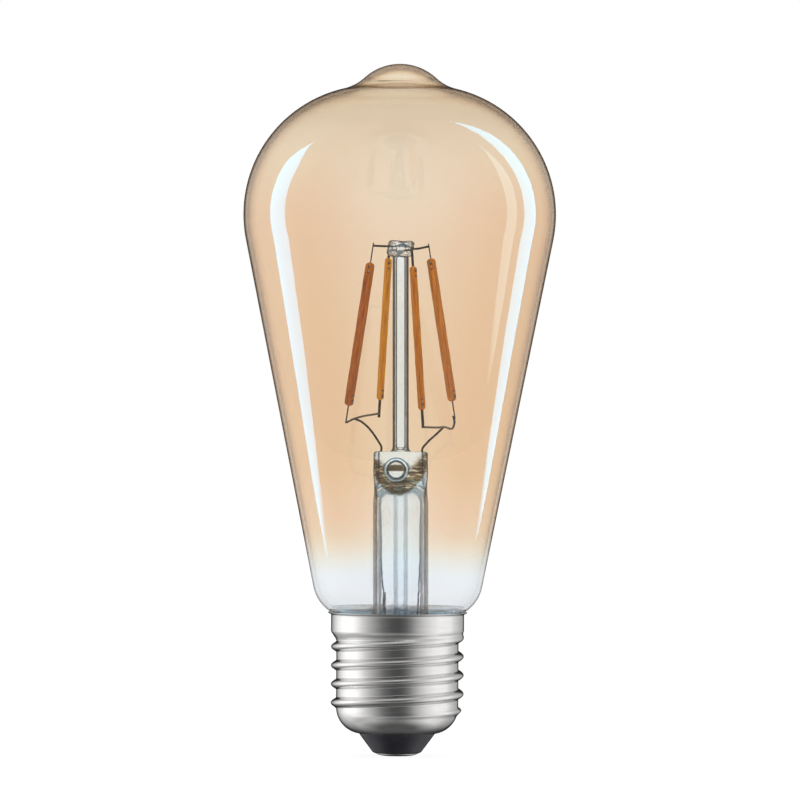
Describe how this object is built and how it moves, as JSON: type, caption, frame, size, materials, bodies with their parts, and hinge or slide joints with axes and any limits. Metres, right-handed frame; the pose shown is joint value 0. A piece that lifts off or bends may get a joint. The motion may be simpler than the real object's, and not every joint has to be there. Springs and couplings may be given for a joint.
{
  "type": "led filament lamp",
  "caption": "Pear-shaped amber glass LED filament lamp on a 27 mm screw cap, with a slanted cage of filaments on a glass post and a driver with a radio in the cap.",
  "frame": {"origin": "middle of the centre contact's flat end", "axes": "+Z along the lamp's axis from the cap to the glass tip; +X to the right and +Y away from a viewer of the front, where the press's blow hole opens"},
  "size_m": [0.0634, 0.0634, 0.1406],
  "materials": {
    "amber_glass": "clear glass with an amber coating that fades out at the neck",
    "clear_glass": "clear glass, fire-polished",
    "phosphor": "orange phosphor in silicone, satin",
    "chip_strip": "white ceramic strip",
    "nickel_wire": "nickel-plated wire and tabs",
    "dumet_wire": "copper-clad seal wire, red-brown in the glass",
    "copper_wire": "bare and enamelled copper",
    "cap_metal": "nickel-plated sheet, satin",
    "black_insulator": "black cap glass, glossy",
    "cement": "baked basing cement, dull",
    "circuit_board": "green solder-masked laminate",
    "black_chip": "moulded black epoxy",
    "ferrite": "dark ferrite",
    "can_aluminium": "satin can",
    "film_wrap": "dipped epoxy",
    "resistor_body": "lacquered body",
    "white_sleeve": "woven glass-fibre sleeve",
    "red_insulation": "red wire insulation",
    "black_insulation": "black wire insulation"
  },
  "bodies": {
    "root": {"anchor_wire_front_back": "nickel_wire", "anchor_wire_sideways": "nickel_wire", "basing_cement": "cement", "bridge_rectifier": "black_chip", "bus_wire_left": "nickel_wire", "bus_wire_right": "nickel_wire", "cap_insulator": "black_insulator", "cap_shell": "cap_metal", "centre_contact": "cap_metal", "choke_core": "ferrite", "choke_winding": "copper_wire", "driver_board": "circuit_board", "driver_chip": "black_chip", "dumet_seal_left": "dumet_wire", "dumet_seal_right": "dumet_wire", "exhaust_tube": "clear_glass", "filament_back_bottom_tab": "nickel_wire", "filament_back_chip_strip": "chip_strip", "filament_back_phosphor": "phosphor", "filament_back_top_tab": "nickel_wire", "filament_front_bottom_tab": "nickel_wire", "filament_front_chip_strip": "chip_strip", "filament_front_phosphor": "phosphor", "filament_front_top_tab": "nickel_wire", "filament_left_bottom_tab": "nickel_wire", "filament_left_chip_strip": "chip_strip", "filament_left_phosphor": "phosphor", "filament_left_top_tab": "nickel_wire", "filament_right_bottom_tab": "nickel_wire", "filament_right_chip_strip": "chip_strip", "filament_right_phosphor": "phosphor", "filament_right_top_tab": "nickel_wire", "film_capacitor": "film_wrap", "fusible_resistor": "resistor_body", "glass_envelope": "amber_glass", "inner_lead_left": "nickel_wire", "inner_lead_right": "nickel_wire", "live_lead": "red_insulation", "neutral_lead": "black_insulation", "outer_lead_left": "copper_wire", "outer_lead_right": "copper_wire", "radio_antenna_wire": "black_insulation", "radio_board": "circuit_board", "radio_pin_header": "nickel_wire", "radio_shield_can": "can_aluminium", "resistor_sleeve": "white_sleeve", "resistor_tail": "nickel_wire", "smoothing_capacitor": "can_aluminium", "stem_press_and_flare": "clear_glass", "support_post": "clear_glass"}
  },
  "joints": []
}
